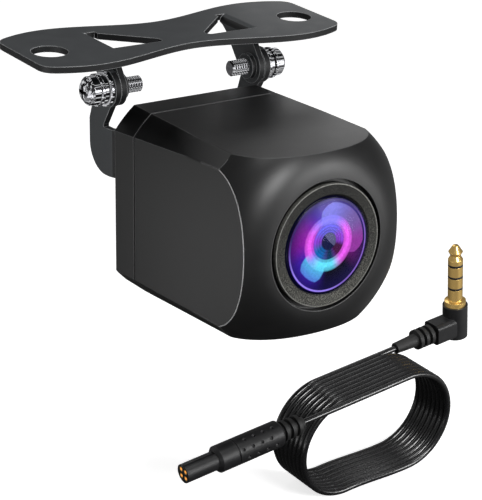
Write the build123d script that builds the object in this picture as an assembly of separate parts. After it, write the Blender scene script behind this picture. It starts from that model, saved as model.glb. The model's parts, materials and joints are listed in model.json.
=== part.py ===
from build123d import *
import os
from math import cos, pi, sin, sqrt

# Backup camera for a truck or trailer: a small square camera head that tilts in a sheet bracket.
# Millimetres. The row frame has +Z up, +X to the right seen from the front, and the lens looks to -Y.
# Its origin is the centre of the bracket plate's top face, which is the face that meets the vehicle.
# The camera head is drawn in its own frame, level, with its origin at the centre of its back face,
# and in_head() then places it at its rest tilt under the pivot.

# ---- bracket plate and pivot (row frame) ----
SHEET = 1.0                    # thickness of the plate and of the U-bracket
PLATE_LENGTH = 54.2
PLATE_END_DEPTH = 14.0         # front to back at the ends
PLATE_BULGE_DEPTH = 18.8       # front to back at the widest place
PLATE_BULGE_X = 16.8
PLATE_WAIST_DEPTH = 12.0       # front to back in the middle
PLATE_CORNER = 2.6
PLATE_MIDDLE_Y = 0.8           # middle of the outline, behind the line of the holes
MOUNT_SPACING = 45.0
MOUNT_HOLE_R = 2.8
CUTOUT_TIP_X = 2.6             # inner tip of each triangular cutout
CUTOUT_TIP_R = 0.9
CUTOUT_FRONT_Y = -2.6
CUTOUT_BACK_Y = 6.0
EAR_INNER_X = 12.2             # inner face of the ears that are folded down from the cutouts
EAR_WIDTH = 5.6
EAR_SLANT = 38.0               # degrees from vertical, the ear runs forward as it goes down
FOLD_RADIUS = 1.2
EAR_COLLAR_R = 2.0             # drawn collar that gives the tapped hole its length
EAR_COLLAR_LENGTH = 0.8
PIVOT_Y = -2.7
PIVOT_Z = -6.1

# ---- camera head (head frame) ----
REST_PITCH = 4.0               # degrees, lens up
HEAD_PIVOT_Y = 3.0
HEAD_PIVOT_Z = 16.9
REAR_WIDTH = 29.3              # the shell widens from the nose to its rear face
REAR_HEIGHT = 28.6
REAR_RISE = 0.3                # middle of the rear face, above the lens axis
REAR_CHAMFER = 2.75
NOSE_WIDTH = 27.6
NOSE_HEIGHT = 27.1
NOSE_CHAMFER = 1.85
BODY_DEPTH = 33.4
EDGE_SOFTENING = 0.4           # radius on the long edges of the chamfers
DOME_RADIUS = 18.4             # radius of the turned nose before it rolls over
NOSE_ROUND = 8.8
WALL = 1.6
COVER_DEPTH = 5.0
SEAM = 0.3                     # gasket thickness between the cover and the housing
COVER_BACK_WALL = 1.8
COVER_BEVEL = 1.0
FIT = 0.02                     # gap where one fixed piece sits in another

# ---- U-bracket (head frame) ----
ARM_INNER_X = 13.25
WEB_BOTTOM_Z = 3.2
WEB_TOP_Z = 10.7
ARM_DEPTH = 8.0
NECK_FRONT_Y = 3.9
ARM_CORNER = 4.5
BEND_R = 2.6                   # outer radius of the bends between the web and the arms
ARM_END_R = 2.9
BRACKET_SCREW_X = 6.0
BRACKET_SCREW_Z = 7.4

# ---- pivot hardware, M2.5 ----
THREAD_R = 1.25
THREAD_PITCH = 0.45
PIVOT_HOLE_R = 1.35
SCREW_LENGTH = 8.0
SCREW_HEAD_R = 2.25
SCREW_HEAD_H = 2.1
RECESS_WIDTH = 0.55
RECESS_LENGTH = 2.6
RECESS_DEPTH = 0.9
WASHER = 0.6
WASHER_R = 2.5
ARM_WASHER_R = 2.7
SPRING_WASHER = 0.8
SPRING_WASHER_R = 2.25
WASHER_EDGE = 0.12             # chamfer round the rims of the washers

# ---- lens (head frame, all turned about the Y axis) ----
NOSE_Y = -BODY_DEPTH
RECESS_R = 9.8
RECESS_FLOOR = 1.2             # depth of the recess in the nose
BEZEL_R = 9.14
BEZEL_PROUD = 0.1
TRIM_WIDTH = 0.15
COLLAR_R = 11.5
COLLAR_BORE_R = 8.3
COLLAR_BACK_Y = -29.0
GLASS_R = 7.25
GLASS_RIM_Y = -33.0
GLASS_BACK_Y = -30.8
GLASS_SAG = 1.9
CUP_R = 8.1
BARREL_R = 6.0
BARREL_BACK_Y = -16.0
O_RING_R = 0.38
O_RING_Y = -30.0
STACK_R = 5.6                  # bore for the second lens
REAR_STACK_R = 4.6             # bore for the rear group
STACK_STEP_Y = -28.2

# ---- electronics (head frame) ----
BOARD_SIZE = 22.0
POWER_BOARD_HEIGHT = 19.6      # lower than the sensor board, to clear the cover bosses
BOARD = 1.2
SENSOR_BOARD_Y = -14.0         # front face
POWER_BOARD_Y = -9.6           # front face
POST_X = 9.0
POST_Z = 8.0
POST_R = 1.7
SMALL_SCREW_R = 0.8            # M1.6
HOLDER_SIZE = 14.0
HOLDER_FRONT_Y = -22.0
HOLDER_SCREW_Z = 8.6
COVER_SCREW_X = 9.5
COVER_SCREW_Z = 12.0
COVER_SCREW_BOSS_R = 1.9

# ---- cable (head frame) ----
CABLE_R = 1.5
GLAND_Z = -6.0
GLAND_END_Y = 6.6
HINGE_Y = 8.4                  # where the cable starts to bend, behind the gland
CABLE_START = Vector(0, HINGE_Y, GLAND_Z)
CABLE_END = Vector(19.0, 38.0, -18.5)
CABLE_END_DIRECTION = Vector(0.63, 0.63, -0.45).normalized()
CABLE_HANDLE = 13.0            # how long the cable keeps its first and its last direction
SOCKET_R = 2.7
SOCKET_LENGTH = 13.0
SOCKET_BORE_R = 1.55
SOCKET_FLOOR = 5.0
SEAL_Z = 9.8                   # start of the seal's groove along the socket
CONTACT_COUNT = 4
CONTACT_R = 0.25
CONTACT_CIRCLE_R = 0.8
KEY_DEPTH = 0.35               # how far the socket's key stands into its bore

# ---- extension lead (its own frame: middle of the front loop, +Y along the coil's axis) ----
LOOP_CENTRE = (19.3, -33.5, -59.5)   # in the row frame, in front of and below the camera
LEAD_TILT = 7.0                # degrees, jack end up
LEAD_R = 0.5
LEAD_PITCH = 1.04              # from one loop to the next
LEAD_TURNS = 8
LOOP_STRAIGHT = 12.0           # straight run at the top and bottom of a loop
LOOP_END_R = 8.3               # centre line radius of a loop's ends
PLUG_RUN = 13.4                # cable from the front loop to the plug
JACK_RUN = 12.0                # cable from the back loop to the jack
PLUG_R = 2.1
PLUG_LENGTH = 12.0
PLUG_CORE_R = 1.5
PLUG_CORE_LENGTH = 5.5
GRIP_ROWS = 3
GRIP_DOTS = 4
JACK_PIN_R = 1.25              # 2.5 mm four-pole jack
JACK_PIN_LENGTH = 11.0
JACK_BODY_R = 2.1


# ---- small shape helpers ----

def in_head(shape):
    """Move a shape from the head frame to its rest place under the pivot."""
    tilt = Pos(0, PIVOT_Y, PIVOT_Z) * Rot(-REST_PITCH, 0, 0)
    return tilt * Pos(0, -HEAD_PIVOT_Y, -HEAD_PIVOT_Z) * shape


def block(x0, x1, y0, y1, z0, z1):
    """Box between two opposite corners."""
    centre = Pos((x0 + x1) / 2, (y0 + y1) / 2, (z0 + z1) / 2)
    return centre * Box(abs(x1 - x0), abs(y1 - y0), abs(z1 - z0))


def rod_y(radius, y0, y1, x=0.0, z=0.0):
    """Round bar along Y."""
    return Pos(x, (y0 + y1) / 2, z) * Rot(90, 0, 0) * Cylinder(radius, abs(y1 - y0))


def rod_x(radius, x0, x1, y=0.0, z=0.0):
    """Round bar along X."""
    return Pos((x0 + x1) / 2, y, z) * Rot(0, 90, 0) * Cylinder(radius, abs(x1 - x0))


def turned_y(points):
    """Solid turned about the Y axis from (radius, y) points."""
    return revolve(make_face(Polyline(*points, close=True)), axis=Axis.Y)


def ring_y(outer, inner, y0, y1):
    """Flat ring about the Y axis."""
    return turned_y([(inner, y0), (outer, y0), (outer, y1), (inner, y1)])


def turned_x(points):
    """Solid turned about the X axis from (x, radius) points."""
    return revolve(make_face(Polyline(*points, close=True)), axis=Axis.X)


def on_pivot(shape):
    """Move a shape drawn about the X axis onto the tilt axis."""
    return Pos(0, PIVOT_Y, PIVOT_Z) * shape


def mirrored(shape):
    """The other hand of a shape, across the middle of the camera."""
    return mirror(shape, about=Plane.YZ)


def both_sides(shape):
    """A shape and its other hand, as one group of two solids."""
    return Compound([shape, mirrored(shape)])


def corners(x, z):
    """The four places at plus and minus x and z."""
    return [(sx * x, sz * z) for sx in (-1, 1) for sz in (-1, 1)]


def cross_recess(x_outer):
    """Cross-shaped driver recess in a screw head whose end is at x_outer."""
    half = RECESS_LENGTH / 2
    arm = RECESS_WIDTH / 2
    x_floor = x_outer - RECESS_DEPTH
    upright = block(x_floor, x_outer + 1, -arm, arm, -half, half)
    level = block(x_floor, x_outer + 1, -half, half, -arm, arm)
    return upright + level


def pan_screw_x(head_seat, length, thread_r, head_r, head_h, pitch):
    """Screw along X with its head outward; the thread is drawn as rings of the right pitch."""
    tip = head_seat - length
    groove = 0.3 * pitch
    points = [(head_seat, 0), (tip, 0), (tip, thread_r - 2 * groove)]
    turns = int((length - 1.0) / pitch)
    for turn in range(turns):
        start = tip + turn * pitch
        points.append((start + 0.45 * pitch, thread_r))
        points.append((start + 0.55 * pitch, thread_r))
        points.append((start + pitch, thread_r - groove))
    points.append((head_seat, thread_r - groove))
    shank = turned_x(points)
    outer = head_seat + head_h
    side = Polyline((outer, 0), (head_seat, 0), (head_seat, head_r), (head_seat + 0.5 * head_h, head_r))
    crown = ThreePointArc(
        (head_seat + 0.5 * head_h, head_r), (outer - 0.12 * head_h, 0.6 * head_r), (outer, 0))
    head = revolve(make_face([side, crown]), axis=Axis.X)
    return shank + head - cross_recess(outer)


def small_screw(y_seat, length, x, z, head_r, head_h, radius=SMALL_SCREW_R):
    """Plain small screw along -Y from its seat, with a slotted pan head towards +Y."""
    shank = rod_y(radius, y_seat, y_seat - length, x, z)
    head = rod_y(head_r, y_seat, y_seat + head_h, x, z)
    top = y_seat + head_h
    slot = 0.6 * head_r
    cross = block(x - slot, x + slot, top - 0.4, top + 1, z - 0.18, z + 0.18)
    cross += block(x - 0.18, x + 0.18, top - 0.4, top + 1, z - slot, z + slot)
    return shank + head - cross


# ---- bracket ----

def plate_outline():
    """Bow-tie outline of the plate, with rounded corners."""
    half = PLATE_LENGTH / 2
    end = PLATE_END_DEPTH / 2
    bulge = PLATE_BULGE_DEPTH / 2
    waist = PLATE_WAIST_DEPTH / 2
    edge = [(-half, end), (-PLATE_BULGE_X, bulge), (0, waist), (PLATE_BULGE_X, bulge), (half, end)]
    back = Spline(*edge)
    front = Spline(*[(x, -y) for x, y in edge])
    left = Line((-half, -end), (-half, end))
    right = Line((half, -end), (half, end))
    face = make_face([back, right, front, left])
    return Pos(0, PLATE_MIDDLE_Y) * fillet(face.vertices(), PLATE_CORNER)


def cutout():
    """Triangular opening that the right ear is folded out of."""
    face = make_face(Polyline(
        (CUTOUT_TIP_X, CUTOUT_FRONT_Y), (EAR_INNER_X, CUTOUT_FRONT_Y), (EAR_INNER_X, CUTOUT_BACK_Y),
        close=True))
    tip = face.vertices().sort_by(Axis.X)[0]
    return fillet(tip, CUTOUT_TIP_R)


def ear():
    """Right ear: a slanted strip with a round end and a drawn collar about the pivot."""
    half = EAR_WIDTH / 2
    slant = EAR_SLANT * pi / 180
    across_y = half * cos(slant)
    across_z = half * sin(slant)
    front = (PIVOT_Y - across_y, PIVOT_Z + across_z)
    back = (PIVOT_Y + across_y, PIVOT_Z - across_z)
    strip = make_face(Polyline(
        (CUTOUT_FRONT_Y, 0), (CUTOUT_FRONT_Y, -1.4 * SHEET), front, back,
        (CUTOUT_BACK_Y - 1.9, -2.3 * SHEET), (CUTOUT_BACK_Y - 0.8, -1.5 * SHEET),
        (CUTOUT_BACK_Y, -1.2 * SHEET), (CUTOUT_BACK_Y, 0), close=True))
    outline = strip + Pos(PIVOT_Y, PIVOT_Z) * Circle(half)
    side = Plane(origin=(EAR_INNER_X, 0, 0), x_dir=(0, 1, 0), z_dir=(1, 0, 0))
    collar = rod_x(EAR_COLLAR_R, EAR_INNER_X - EAR_COLLAR_LENGTH, EAR_INNER_X + SHEET / 2, PIVOT_Y, PIVOT_Z)
    return extrude(side * outline, amount=SHEET) + collar


def fold_rounding():
    """Material outside the bend where the right ear is folded down from the plate."""
    corner = block(EAR_INNER_X - 1, EAR_INNER_X + FOLD_RADIUS, CUTOUT_FRONT_Y, CUTOUT_BACK_Y, -FOLD_RADIUS, 1)
    middle_y = (CUTOUT_FRONT_Y + CUTOUT_BACK_Y) / 2
    bend = Pos(EAR_INNER_X + FOLD_RADIUS, middle_y, -FOLD_RADIUS) * Rot(90, 0, 0) * Cylinder(FOLD_RADIUS, 20)
    return corner - bend


def mounting_plate():
    """Plate with two round mounting holes, two cutouts and the two ears."""
    plate = extrude(plate_outline(), amount=-SHEET)
    opening = extrude(cutout(), amount=-SHEET)
    plate -= [opening, mirrored(opening)]
    plate += [ear(), mirrored(ear())]
    for side in (-1, 1):
        plate -= Pos(side * MOUNT_SPACING / 2, 0, 0) * Cylinder(MOUNT_HOLE_R, 4 * SHEET)
    plate -= on_pivot(rod_x(THREAD_R + FIT, -PLATE_LENGTH, PLATE_LENGTH))
    rounding = fold_rounding()
    return plate - [rounding, mirrored(rounding)]


def u_bracket():
    """Sheet web behind the rear cover with two arms bent back and up to the pivot."""
    outer = ARM_INNER_X + SHEET
    web = block(-outer, outer, 0, SHEET, WEB_BOTTOM_Z, WEB_TOP_Z)
    lower = make_face(Polyline(
        (0, WEB_BOTTOM_Z), (ARM_DEPTH, WEB_BOTTOM_Z), (ARM_DEPTH, WEB_TOP_Z), (0, WEB_TOP_Z), close=True))
    back_corner = lower.vertices().sort_by(Axis.Y)[:2].sort_by(Axis.X)[-1]
    lower = fillet(back_corner, ARM_CORNER)
    neck = make_face(Polyline(
        (NECK_FRONT_Y, WEB_TOP_Z - 1), (ARM_DEPTH, WEB_TOP_Z - 1), (ARM_DEPTH, WEB_TOP_Z + 0.6),
        (HEAD_PIVOT_Y + ARM_END_R, HEAD_PIVOT_Z), (HEAD_PIVOT_Y - ARM_END_R, HEAD_PIVOT_Z),
        (NECK_FRONT_Y, WEB_TOP_Z + 0.4), close=True))
    outline = lower + neck + Pos(HEAD_PIVOT_Y, HEAD_PIVOT_Z) * Circle(ARM_END_R)
    side = Plane(origin=(ARM_INNER_X, 0, 0), x_dir=(0, 1, 0), z_dir=(1, 0, 0))
    arm = extrude(side * outline, amount=SHEET)
    bracket = web + [arm, mirrored(arm)]
    upright = bracket.edges().filter_by(Axis.Z)
    outside = [edge for edge in upright.filter_by_position(Axis.Y, -0.01, 0.01)
               if abs(abs(edge.center().X) - outer) < 0.01]
    bracket = fillet(outside, BEND_R)
    upright = bracket.edges().filter_by(Axis.Z)
    inside = [edge for edge in upright.filter_by_position(Axis.Y, SHEET - 0.01, SHEET + 0.01)
              if abs(abs(edge.center().X) - ARM_INNER_X) < 0.01]
    bracket = fillet(inside, BEND_R - SHEET)
    bracket -= rod_x(PIVOT_HOLE_R, -2 * outer, 2 * outer, HEAD_PIVOT_Y, HEAD_PIVOT_Z)
    for x in (-BRACKET_SCREW_X, BRACKET_SCREW_X):
        bracket -= rod_y(1.1, -SHEET, 2 * SHEET, x, BRACKET_SCREW_Z)
    return bracket


def bracket_screws():
    """Two screws that hold the U-bracket to the rear cover."""
    return Compound([
        small_screw(SHEET, 5.4, x, BRACKET_SCREW_Z, 1.9, 1.2, 1.0)
        for x in (-BRACKET_SCREW_X, BRACKET_SCREW_X)])


# ---- pivot hardware, right side, drawn about the X axis ----

ARM_OUTER_X = ARM_INNER_X + SHEET
ARM_WASHER_END_X = ARM_OUTER_X + FIT + WASHER
SPRING_END_X = ARM_WASHER_END_X + FIT + SPRING_WASHER
HEAD_SEAT_X = SPRING_END_X + 2 * FIT + WASHER


def washer(outer, x0, x1):
    """Flat washer from x0 to x1 with chamfered rims."""
    rim = outer - WASHER_EDGE
    return turned_x([
        (x0, PIVOT_HOLE_R), (x0, rim), (x0 + WASHER_EDGE, outer), (x1 - WASHER_EDGE, outer), (x1, rim),
        (x1, PIVOT_HOLE_R)])


def spring_washer(x0):
    """Split ring with a slanted gap at the top, starting at x0."""
    ring = washer(SPRING_WASHER_R, x0, x0 + SPRING_WASHER)
    gap = Pos(x0 + SPRING_WASHER / 2, 0, SPRING_WASHER_R - 0.6) * Rot(0, 0, 30) * Box(3, 0.4, 2)
    return ring - gap


def pivot_screw():
    """Pan-head screw through the arm and the ear."""
    return pan_screw_x(HEAD_SEAT_X, SCREW_LENGTH, THREAD_R, SCREW_HEAD_R, SCREW_HEAD_H, THREAD_PITCH)


# ---- camera head shells ----

def body_section(y, inset):
    """Outline of the head at one place along its length, drawn inset inside its skin."""
    share = y / NOSE_Y
    width = REAR_WIDTH + share * (NOSE_WIDTH - REAR_WIDTH) - 2 * inset
    height = REAR_HEIGHT + share * (NOSE_HEIGHT - REAR_HEIGHT) - 2 * inset
    cut = REAR_CHAMFER + share * (NOSE_CHAMFER - REAR_CHAMFER) - 0.4 * inset
    outline = chamfer(Rectangle(width, height).vertices(), cut)
    outline = fillet(outline.vertices(), EDGE_SOFTENING)
    return Plane.XZ.offset(-y) * Pos(0, REAR_RISE * (1 - share)) * outline


def body_form(inset):
    """Form of the head drawn inset inside its skin: a tapered chamfered bar with a turned nose."""
    nose = NOSE_Y + inset
    bar = loft([body_section(0, inset), body_section(nose, inset)], ruled=True)
    rim = DOME_RADIUS - inset
    roll = NOSE_ROUND - inset
    flat = rim - roll
    walls = Polyline((flat, nose), (0, nose), (0, 0), (rim, 0), (rim, nose + roll))
    shoulder = CenterArc((flat, nose + roll), roll, -90, 90)
    return bar & revolve(make_face([walls, shoulder]), axis=Axis.Y)


def slab(y0, y1):
    """Wide block that keeps only the stretch of a form between two Y places."""
    return block(-30, 30, y0, y1, -30, 30)


def cover_screw_places():
    return corners(COVER_SCREW_X, COVER_SCREW_Z)


def front_housing():
    """Moulded front shell with the lens recess, four board posts and four cover bosses."""
    seam_y = -COVER_DEPTH - SEAM
    shell = (body_form(0) & slab(NOSE_Y, seam_y)) - body_form(WALL)
    shell += ring_y(COLLAR_R, 5.0, NOSE_Y + WALL / 2, COLLAR_BACK_Y)
    inside = body_form(WALL / 2) & slab(NOSE_Y, SENSOR_BOARD_Y)
    for x, z in corners(POST_X, POST_Z):
        shell += rod_y(POST_R, NOSE_Y, SENSOR_BOARD_Y, x, z) & inside
    lip_clear_y = seam_y - 1.5
    skin = body_form(WALL / 2)
    for x, z in cover_screw_places():
        shell += rod_y(COVER_SCREW_BOSS_R, lip_clear_y - 6, lip_clear_y, x, z) & skin
    shell -= rod_y(RECESS_R, NOSE_Y - 1, NOSE_Y + RECESS_FLOOR)
    shell -= rod_y(COLLAR_BORE_R, NOSE_Y - 1, COLLAR_BACK_Y + 1)
    for x, z in corners(POST_X, POST_Z):
        shell -= rod_y(SMALL_SCREW_R + FIT, SENSOR_BOARD_Y - 6, SENSOR_BOARD_Y + 1, x, z)
    for x, z in cover_screw_places():
        shell -= rod_y(SMALL_SCREW_R + FIT, lip_clear_y - 4.5, seam_y + 1, x, z)
    return shell


def rear_cover():
    """Back shell with a locating lip, screw bosses and the hole for the cable gland."""
    shell = (body_form(0) & slab(-COVER_DEPTH, 0)) - (body_form(WALL) & slab(-COVER_DEPTH, -COVER_BACK_WALL))
    lip = (body_form(WALL + 0.1) - body_form(WALL + 1.1)) & slab(-COVER_DEPTH - 1.6, -COVER_DEPTH + 0.5)
    shell += lip
    for x, z in cover_screw_places():
        shell += rod_y(COVER_SCREW_BOSS_R, -COVER_DEPTH, -1, x, z) & body_form(WALL / 2)
    for x in (-BRACKET_SCREW_X, BRACKET_SCREW_X):
        shell += rod_y(2.1, -COVER_DEPTH, -1, x, BRACKET_SCREW_Z)
        shell -= rod_y(1.0 + FIT, -COVER_DEPTH - 1, 1, x, BRACKET_SCREW_Z)
    for x, z in cover_screw_places():
        shell -= rod_y(SMALL_SCREW_R + 0.1, -COVER_DEPTH - 3, 1, x, z)
        shell -= rod_y(1.3, -1.0, 1, x, z)
    shell -= rod_y(2.6, -COVER_DEPTH, 1, 0, GLAND_Z)
    bottom = REAR_RISE - REAR_HEIGHT / 2
    bevel = make_face(Polyline(
        (-COVER_DEPTH, bottom), (1, bottom + COVER_BEVEL * (1 + 1 / COVER_DEPTH)), (1, bottom - 1),
        (-COVER_DEPTH, bottom - 1), close=True))
    side = Plane(origin=(-20, 0, 0), x_dir=(0, 1, 0), z_dir=(1, 0, 0))
    return shell - extrude(side * bevel, amount=40)


def cover_gasket():
    """Thin rubber frame in the seam between the two shells."""
    frame = body_form(0.3) - body_form(WALL + 0.05)
    frame &= slab(-COVER_DEPTH - SEAM + FIT, -COVER_DEPTH - FIT)
    for x, z in cover_screw_places():
        frame -= rod_y(SMALL_SCREW_R + 0.1, -COVER_DEPTH - 1, -COVER_DEPTH + 1, x, z)
    return frame


def cover_screws():
    """Four screws from the back through the cover into the housing bosses."""
    return Compound([small_screw(-1.0, 9.8, x, z, 1.2, 0.8) for x, z in cover_screw_places()])


# ---- lens ----

def lens_disc(radius, y_front, y_back, front_sag, back_sag):
    """Lens turned about Y; a positive sag bulges outward and a negative one is hollow."""
    def face_curve(y_edge, sag, outward):
        apex = y_edge + outward * sag
        curve_r = (radius ** 2 + sag ** 2) / (2 * abs(sag))
        middle_sag = sqrt(curve_r ** 2 - (radius / 2) ** 2) - (curve_r - abs(sag))
        middle = y_edge + outward * middle_sag * (1 if sag > 0 else -1)
        return ThreePointArc((0, apex), (radius / 2, middle), (radius, y_edge))
    front = face_curve(y_front, front_sag, -1)
    back = face_curve(y_back, back_sag, 1)
    edge = Line((radius, y_front), (radius, y_back))
    axis = Line((0, y_front - front_sag), (0, y_back + back_sag))
    return revolve(make_face([front, edge, back, axis]), axis=Axis.Y)


def front_lens():
    """Domed outer lens."""
    return lens_disc(GLASS_R, GLASS_RIM_Y, GLASS_BACK_Y, GLASS_SAG, -1.4)


def lens_bezel():
    """Flat dark ring around the glass, seated in the nose recess."""
    front = NOSE_Y - BEZEL_PROUD
    back = NOSE_Y + RECESS_FLOOR
    inner = GLASS_R + 0.05
    return turned_y([
        (inner, back), (inner, front + 0.35), (inner + 0.3, front), (BEZEL_R - TRIM_WIDTH - FIT, front),
        (BEZEL_R - TRIM_WIDTH - FIT, front + 0.6), (BEZEL_R - 0.01, front + 0.6), (BEZEL_R - 0.01, back)])


def trim_ring():
    """Thin bright ring around the bezel."""
    front = NOSE_Y - BEZEL_PROUD
    return ring_y(BEZEL_R, BEZEL_R - TRIM_WIDTH, front - 0.05, front + 0.58)


def lens_barrel():
    """Turned barrel: a cup for the front lens, an O-ring groove and the mounting thread's length."""
    front = NOSE_Y + RECESS_FLOOR + 0.05
    groove_half = O_RING_R + 0.02
    groove_r = CUP_R - 0.6
    return turned_y([
        (GLASS_R + FIT, front), (CUP_R, front), (CUP_R, O_RING_Y - groove_half),
        (groove_r, O_RING_Y - groove_half), (groove_r, O_RING_Y + groove_half),
        (CUP_R, O_RING_Y + groove_half), (CUP_R, STACK_STEP_Y - 0.3), (BARREL_R, STACK_STEP_Y - 0.3),
        (BARREL_R, BARREL_BACK_Y), (REAR_STACK_R, BARREL_BACK_Y), (REAR_STACK_R, STACK_STEP_Y),
        (STACK_R, STACK_STEP_Y), (STACK_R, GLASS_BACK_Y + FIT), (GLASS_R + FIT, GLASS_BACK_Y + FIT)])


def lens_o_ring():
    """Rubber ring between the barrel and the housing collar."""
    section = Pos(CUP_R - 0.2, O_RING_Y) * Circle(O_RING_R)
    return revolve(section, axis=Axis.Y)


def second_lens():
    return lens_disc(STACK_R - FIT, GLASS_BACK_Y + 0.4, STACK_STEP_Y - FIT, -0.5, -0.6)


def third_lens():
    return lens_disc(REAR_STACK_R - FIT, STACK_STEP_Y + 0.1, STACK_STEP_Y + 2.1, -0.3, 0.4)


def aperture_stop():
    """Thin blackened ring that sets the lens opening."""
    return ring_y(REAR_STACK_R - FIT, 1.2, STACK_STEP_Y + 2.6, STACK_STEP_Y + 2.8)


def fourth_lens():
    return lens_disc(REAR_STACK_R - FIT, STACK_STEP_Y + 3.4, STACK_STEP_Y + 6.0, 0.5, 0.6)


def rear_retainer():
    """Ring that holds the rear lens group in the barrel."""
    return ring_y(REAR_STACK_R - FIT, 3.4, STACK_STEP_Y + 6.7, STACK_STEP_Y + 7.9)


def lens_holder():
    """Moulded holder on the sensor board that the barrel screws into."""
    half = HOLDER_SIZE / 2
    holder = block(-half, half, HOLDER_FRONT_Y, SENSOR_BOARD_Y, -half, half)
    holder += block(-2, 2, SENSOR_BOARD_Y - 2.4, SENSOR_BOARD_Y, -HOLDER_SCREW_Z - 1.6, HOLDER_SCREW_Z + 1.6)
    holder -= rod_y(BARREL_R + FIT, HOLDER_FRONT_Y - 1, BARREL_BACK_Y + 0.2)
    holder -= block(-2.5, 2.5, HOLDER_FRONT_Y, SENSOR_BOARD_Y + 1, -2.5, 2.5)
    holder -= block(-3.6, 3.6, SENSOR_BOARD_Y - 1.4, SENSOR_BOARD_Y + 1, -3.6, 3.6)
    for z in (-HOLDER_SCREW_Z, HOLDER_SCREW_Z):
        holder -= rod_y(SMALL_SCREW_R + FIT, SENSOR_BOARD_Y - 2, SENSOR_BOARD_Y + 1, 0, z)
    return holder


def ir_filter():
    """Square filter glass in the holder."""
    return block(-3.5, 3.5, SENSOR_BOARD_Y - 1.4, SENSOR_BOARD_Y - 1.05, -3.5, 3.5)


# ---- electronics ----

def board(y_front, height, holes):
    """Circuit board with clearance holes at the given places."""
    half = BOARD_SIZE / 2
    plate = block(-half, half, y_front, y_front + BOARD, -height / 2, height / 2)
    for x, z in holes:
        plate -= rod_y(SMALL_SCREW_R + 0.1, y_front - 1, y_front + BOARD + 1, x, z)
    return plate


def sensor_board():
    holder_holes = [(0, -HOLDER_SCREW_Z), (0, HOLDER_SCREW_Z)]
    return board(SENSOR_BOARD_Y, BOARD_SIZE, corners(POST_X, POST_Z) + holder_holes)


def power_board():
    return board(POWER_BOARD_Y, POWER_BOARD_HEIGHT, corners(POST_X, POST_Z))


def image_sensor():
    return block(-3.2, 3.2, SENSOR_BOARD_Y - 0.9, SENSOR_BOARD_Y, -3.0, 3.0)


def board_chips():
    """Video processor behind the sensor board, and a coil and a capacitor on the power board."""
    sensor_back = SENSOR_BOARD_Y + BOARD
    power_back = POWER_BOARD_Y + BOARD
    processor = block(-3.5, 3.5, sensor_back, sensor_back + 0.9, 0, 7)
    coil = block(-9, -5, power_back, power_back + 2, -4, 0)
    capacitor = rod_y(1.8, power_back, power_back + 2.4, 7.2, -2)
    return Compound([processor, coil, capacitor])


def board_connector():
    """Stacking connector between the two boards."""
    return block(-4, 4, SENSOR_BOARD_Y + BOARD, POWER_BOARD_Y, -5, -2.6)


def board_spacers():
    """Four tubes that hold the boards apart."""
    spacers = []
    for x, z in corners(POST_X, POST_Z):
        y0, y1 = SENSOR_BOARD_Y + BOARD, POWER_BOARD_Y
        spacers.append(rod_y(1.6, y0, y1, x, z) - rod_y(SMALL_SCREW_R + 0.1, y0 - 1, y1 + 1, x, z))
    return Compound(spacers)


def board_screws():
    """Four screws through both boards into the housing posts."""
    seat = POWER_BOARD_Y + BOARD
    return Compound([small_screw(seat, 10.5, x, z, 1.4, 0.8) for x, z in corners(POST_X, POST_Z)])


def holder_screws():
    """Two screws from behind the sensor board into the lens holder."""
    seat = SENSOR_BOARD_Y + BOARD
    return Compound([
        small_screw(seat, 3.0, 0, z, 1.3, 0.7) for z in (-HOLDER_SCREW_Z, HOLDER_SCREW_Z)])


# ---- cable ----

def cable_gland():
    """Rubber gland through the rear cover with a tapered tail."""
    bore = CABLE_R + FIT
    tail = CABLE_R + 0.7
    profile = [
        (bore, -3.0), (3.6, -3.0), (3.6, -COVER_BACK_WALL - FIT), (2.58, -COVER_BACK_WALL - FIT),
        (2.58, FIT), (3.7, FIT), (3.7, 1.2), (2.9, 1.6)]
    for rib in range(3):
        start = 1.9 + 1.5 * rib
        profile += [(2.75, start), (2.75, start + 0.8), (2.2, start + 0.9), (2.2, start + 1.4)]
    profile += [(tail, GLAND_END_Y), (bore, GLAND_END_Y)]
    return Pos(0, 0, GLAND_Z) * turned_y(profile)


def cable_tail():
    """End of the cable held inside the gland."""
    return rod_y(CABLE_R, -3.6, GLAND_END_Y - 0.1, 0, GLAND_Z)


def wire_plug():
    """Plug on the power board that the four wires go to."""
    back = POWER_BOARD_Y + BOARD
    return block(-3, 3, back, back + 3.2, -1, 2)


def inner_wires():
    """Four wires from the cable to the plug."""
    wires = []
    plug_y = POWER_BOARD_Y + BOARD + 1.6
    for index in range(CONTACT_COUNT):
        step = index - (CONTACT_COUNT - 1) / 2
        start = (1.2 * step, plug_y, -1 - FIT)
        end = (0.7 * step, -3.6 - FIT, GLAND_Z)
        path = Spline(start, end, tangents=((0, 0, -1), (0, 1, 0)))
        wires.append(sweep(Plane(origin=start, z_dir=(0, 0, -1)) * Circle(0.3), path=path))
    return Compound(wires)


def cable_path():
    """Centre line of the free cable, from behind the gland to the socket."""
    leave = CABLE_START + Vector(0, CABLE_HANDLE, 0)
    arrive = CABLE_END - CABLE_END_DIRECTION * CABLE_HANDLE
    return Bezier(CABLE_START, leave, arrive, CABLE_END)


def cable_tube(radius):
    """Round bar along the centre line of the free cable."""
    return sweep(Plane(origin=CABLE_START, z_dir=(0, 1, 0)) * Circle(radius), path=cable_path())


def pigtail_cable():
    """Free part of the cable; its round start is the centre that it bends about."""
    return cable_tube(CABLE_R) + Pos(*CABLE_START) * Sphere(CABLE_R)


def at_cable_end(shape):
    """Move a shape drawn along +Z so that it continues the cable from its end."""
    return Plane(origin=CABLE_END, z_dir=CABLE_END_DIRECTION) * shape


def turned_z(points):
    """Solid turned about the Z axis from (radius, z) points."""
    flat = [(radius, 0, z) for radius, z in points]
    return revolve(make_face(Polyline(*flat, close=True)), axis=Axis.Z)


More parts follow.
